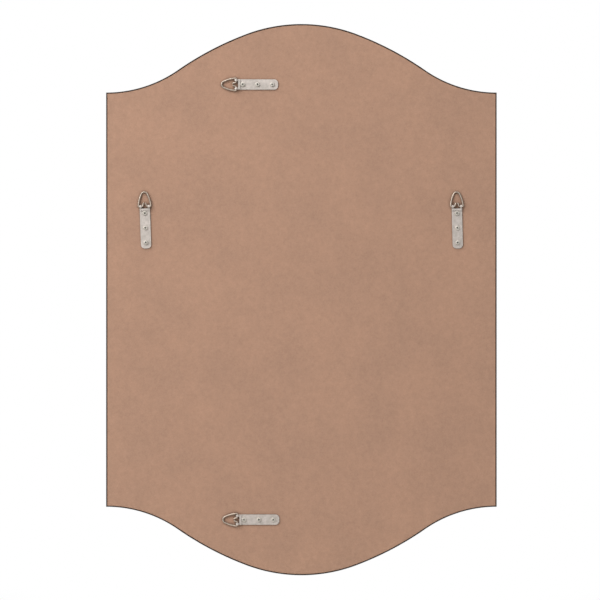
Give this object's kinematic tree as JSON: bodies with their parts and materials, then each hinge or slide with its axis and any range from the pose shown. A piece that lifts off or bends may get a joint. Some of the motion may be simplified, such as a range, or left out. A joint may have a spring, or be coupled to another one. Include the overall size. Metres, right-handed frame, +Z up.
{
  "type": "wall mirror",
  "caption": "Tall wall mirror with ogee-arched ends, bevelled glass in a slim dark metal frame on a fibreboard back, with swinging ring hangers for hanging it upright or on its side",
  "frame": {"origin": "on the wall plane, at the middle of the mirror's width and height; the rolled ends of the hanger straps touch this plane", "axes": "+Z up as the mirror hangs upright, +Y into the wall, -Y out of the glass towards the room, +X to the right as seen by someone facing the glass"},
  "size_m": [0.61, 0.0229, 0.861],
  "materials": {
    "frame": "dark bronze, satin",
    "mirror": "silvered glass, polished",
    "tape": "white foam",
    "board": "raw medium-density fibreboard",
    "strap": "zinc plated",
    "ring": "zinc plated",
    "screws": "zinc plated"
  },
  "bodies": {
    "mirror": {"frame_top_rail": "frame", "frame_bottom_rail": "frame", "frame_left_rail": "frame", "frame_right_rail": "frame", "mirror_glass": "mirror", "bonding_tape": "tape", "backing_board": "board", "strap_left": "strap", "screws_left": "screws", "strap_right": "strap", "screws_right": "screws", "strap_top": "strap", "screws_top": "screws", "strap_bottom": "strap", "screws_bottom": "screws"},
    "left_ring": {"ring_left": "ring"},
    "right_ring": {"ring_right": "ring"},
    "top_ring": {"ring_top": "ring"},
    "bottom_ring": {"ring_bottom": "ring"}
  },
  "joints": [
    {"name": "left_ring_hinge", "type": "hinge", "parent": "mirror", "child": "left_ring", "pos_m": [-0.24269, -0.00275, 0.14519], "axis": [-0.9997, 0, 0.0244], "range_deg": [0, 150]},
    {"name": "right_ring_hinge", "type": "hinge", "parent": "mirror", "child": "right_ring", "pos_m": [0.24466, -0.00275, 0.14518], "axis": [-0.9994, 0, 0.0349], "range_deg": [0, 150]},
    {"name": "top_ring_hinge", "type": "hinge", "parent": "mirror", "child": "top_ring", "pos_m": [0.1017, -0.00275, 0.336], "axis": [0, 0, 1], "range_deg": [0, 150]},
    {"name": "bottom_ring_hinge", "type": "hinge", "parent": "mirror", "child": "bottom_ring", "pos_m": [0.0997, -0.00275, -0.3435], "axis": [0, 0, 1], "range_deg": [0, 150]}
  ]
}
